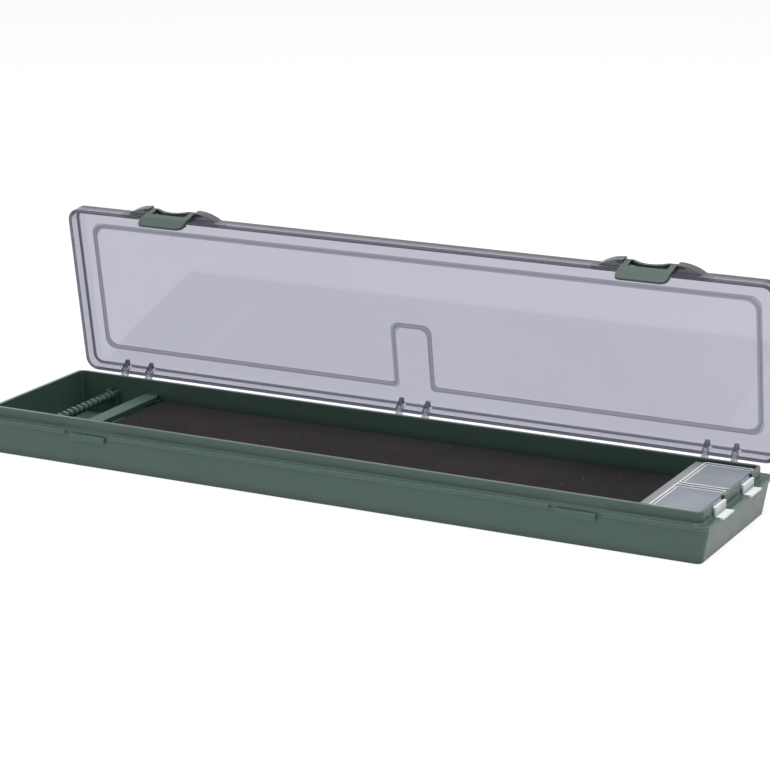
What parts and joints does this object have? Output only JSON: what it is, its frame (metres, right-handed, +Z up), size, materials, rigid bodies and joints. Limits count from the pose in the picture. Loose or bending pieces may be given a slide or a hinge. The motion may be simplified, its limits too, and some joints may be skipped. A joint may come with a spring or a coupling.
{
  "type": "rig box",
  "caption": "Long slim tackle box with a hinged smoked lid, swinging latches, foam bed, comb rod, cross bar and a small compartment insert with flip lids.",
  "frame": {"origin": "centre of the tray's flat underside", "axes": "+X along the box towards the compartment insert, -Y towards the latch side, +Y towards the hinge, +Z up"},
  "size_m": [0.3512, 0.0931, 0.1044],
  "materials": {
    "tray_green": "satin moulded",
    "latch_green": "satin moulded",
    "lid_smoke": "clear smoked",
    "foam": "closed-cell foam",
    "insert_frost": "frosted"
  },
  "bodies": {
    "tray": {"tray": "tray_green", "foam_bed": "foam", "comb_rod": "tray_green", "crossbar": "tray_green", "compartment_insert": "insert_frost"},
    "lid": {"lid": "lid_smoke"},
    "latch_left": {"latch_left": "latch_green"},
    "latch_right": {"latch_right": "latch_green"},
    "flip_lid_front": {"flip_lid_front": "insert_frost"},
    "flip_lid_rear": {"flip_lid_rear": "insert_frost"}
  },
  "joints": [
    {"name": "lid_hinge", "type": "hinge", "parent": "tray", "child": "lid", "pos_m": [0, 0.0466, 0.0153], "axis": [1, 0, 0], "range_deg": [-29.1, 80.9]},
    {"name": "latch_left_pivot", "type": "hinge", "parent": "lid", "child": "latch_left", "pos_m": [-0.1185, 0.03859, 0.10263], "axis": [1, 0, 0], "range_deg": [-110, 0]},
    {"name": "latch_right_pivot", "type": "hinge", "parent": "lid", "child": "latch_right", "pos_m": [0.1185, 0.03859, 0.10263], "axis": [1, 0, 0], "range_deg": [-110, 0]},
    {"name": "flip_front_hinge", "type": "hinge", "parent": "tray", "child": "flip_lid_front", "pos_m": [0.1465, -0.0168, 0.02], "axis": [0, 1, 0], "range_deg": [-100, 0]},
    {"name": "flip_rear_hinge", "type": "hinge", "parent": "tray", "child": "flip_lid_rear", "pos_m": [0.1465, 0.0168, 0.02], "axis": [0, 1, 0], "range_deg": [-100, 0]}
  ]
}
